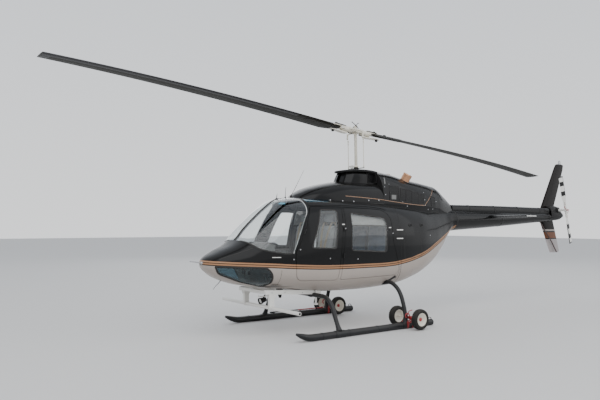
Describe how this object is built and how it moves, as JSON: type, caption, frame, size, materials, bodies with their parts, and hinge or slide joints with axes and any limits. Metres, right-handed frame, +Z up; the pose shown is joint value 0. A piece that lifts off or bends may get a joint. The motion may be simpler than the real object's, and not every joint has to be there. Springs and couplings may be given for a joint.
{
  "type": "light turbine helicopter",
  "caption": "Light turbine helicopter on high skids with hollow cabin, hinged doors, see-sawing main rotor, tail rotor, ground handling wheels and a frame under the nose.",
  "frame": {"origin": "on the ground below the middle of the overall length, on the centre plane", "axes": "+X forward to the nose, +Y to port, +Z up"},
  "size_m": [11.6041, 2.556, 3.6981],
  "materials": {
    "black_paint": "gloss",
    "light_paint": "gloss",
    "glass": "polished",
    "tinted_glass": "polished",
    "floor": "matte",
    "trim_plastic": "matte",
    "seat_fabric": "matte",
    "engine_metal": "satin",
    "exhaust_metal": "satin",
    "cream_paint": "satin",
    "blade_paint": "satin",
    "white_paint": "satin",
    "gear_paint": "satin",
    "red_paint": "satin",
    "tyre": "matte"
  },
  "bodies": {
    "airframe": {"nose_cover": "black_paint", "cabin_frame": "black_paint", "aft_fuselage": "black_paint", "tail_boom": "black_paint", "stabiliser": "black_paint", "shaft_cover": "black_paint", "tail_gearbox": "black_paint", "fin": "black_paint", "deck_cowl": "black_paint", "engine_cowl": "black_paint", "tail_fairing": "black_paint", "mast_fairing": "black_paint", "lower_hull": "light_paint", "windscreen_left": "glass", "windscreen_right": "glass", "chin_window_left": "tinted_glass", "chin_window_right": "tinted_glass", "roof_window_left": "tinted_glass", "roof_window_right": "tinted_glass", "cabin_floor": "floor", "seat_box": "trim_plastic", "rear_seat_box": "trim_plastic", "instrument_console": "trim_plastic", "crew_seat_left": "seat_fabric", "crew_seat_right": "seat_fabric", "rear_bench": "seat_fabric", "engine": "engine_metal", "transmission": "engine_metal", "exhaust_left": "exhaust_metal", "exhaust_right": "exhaust_metal", "equipment_frame": "white_paint", "skid_left": "gear_paint", "skid_right": "gear_paint", "front_cross_tube": "gear_paint", "rear_cross_tube": "gear_paint", "tail_skid": "gear_paint", "wheel_bracket_left": "red_paint", "wheel_bracket_right": "red_paint"},
    "crew_door_left_body": {"crew_door_left": "black_paint", "crew_window_left": "glass"},
    "crew_door_right_body": {"crew_door_right": "black_paint", "crew_window_right": "glass"},
    "passenger_door_left_body": {"passenger_door_left": "black_paint", "passenger_window_left": "glass"},
    "passenger_door_right_body": {"passenger_door_right": "black_paint", "passenger_window_right": "glass"},
    "mast_body": {"rotor_mast": "cream_paint"},
    "rotor_body": {"rotor_head": "cream_paint", "main_blade_fore": "blade_paint", "main_blade_aft": "blade_paint"},
    "tail_rotor_body": {"tail_rotor": "white_paint"},
    "wheels_left_body": {"wheel_rims_left": "cream_paint", "tyre_left_outer": "tyre", "tyre_left_inner": "tyre"},
    "wheels_right_body": {"wheel_rims_right": "cream_paint", "tyre_right_outer": "tyre", "tyre_right_inner": "tyre"}
  },
  "joints": [
    {"name": "crew_door_left_swing", "type": "hinge", "parent": "airframe", "child": "crew_door_left_body", "pos_m": [2.3933, 0.634, 1.235], "axis": [0.4353, 0, -0.9003], "range_deg": [0, 75]},
    {"name": "crew_door_right_swing", "type": "hinge", "parent": "airframe", "child": "crew_door_right_body", "pos_m": [2.3933, -0.634, 1.235], "axis": [-0.4353, 0, 0.9003], "range_deg": [0, 75]},
    {"name": "passenger_door_left_swing", "type": "hinge", "parent": "airframe", "child": "passenger_door_left_body", "pos_m": [1.5575, 0.676, 1.15], "axis": [0.1204, 0, -0.9927], "range_deg": [0, 75]},
    {"name": "passenger_door_right_swing", "type": "hinge", "parent": "airframe", "child": "passenger_door_right_body", "pos_m": [1.5575, -0.676, 1.15], "axis": [-0.1204, 0, 0.9927], "range_deg": [0, 75]},
    {"name": "rotor_spin", "type": "hinge", "parent": "airframe", "child": "mast_body", "pos_m": [0.74, 0, 3.2], "axis": [0.0262, 0, 0.9997], "continuous": true},
    {"name": "rotor_teeter", "type": "hinge", "parent": "mast_body", "child": "rotor_body", "pos_m": [0.74, 0, 3.2], "axis": [-0.0105, 0.9999, 0.0003], "range_deg": [-4.36, 18.64]},
    {"name": "tail_rotor_spin", "type": "hinge", "parent": "airframe", "child": "tail_rotor_body", "pos_m": [-5.218, 0.278, 1.951], "axis": [0, 1, 0], "continuous": true},
    {"name": "wheels_left_spin", "type": "hinge", "parent": "airframe", "child": "wheels_left_body", "pos_m": [0.502, 0.985, 0.165], "axis": [0, 1, 0], "continuous": true},
    {"name": "wheels_right_spin", "type": "hinge", "parent": "airframe", "child": "wheels_right_body", "pos_m": [0.502, -0.985, 0.165], "axis": [0, 1, 0], "continuous": true}
  ]
}
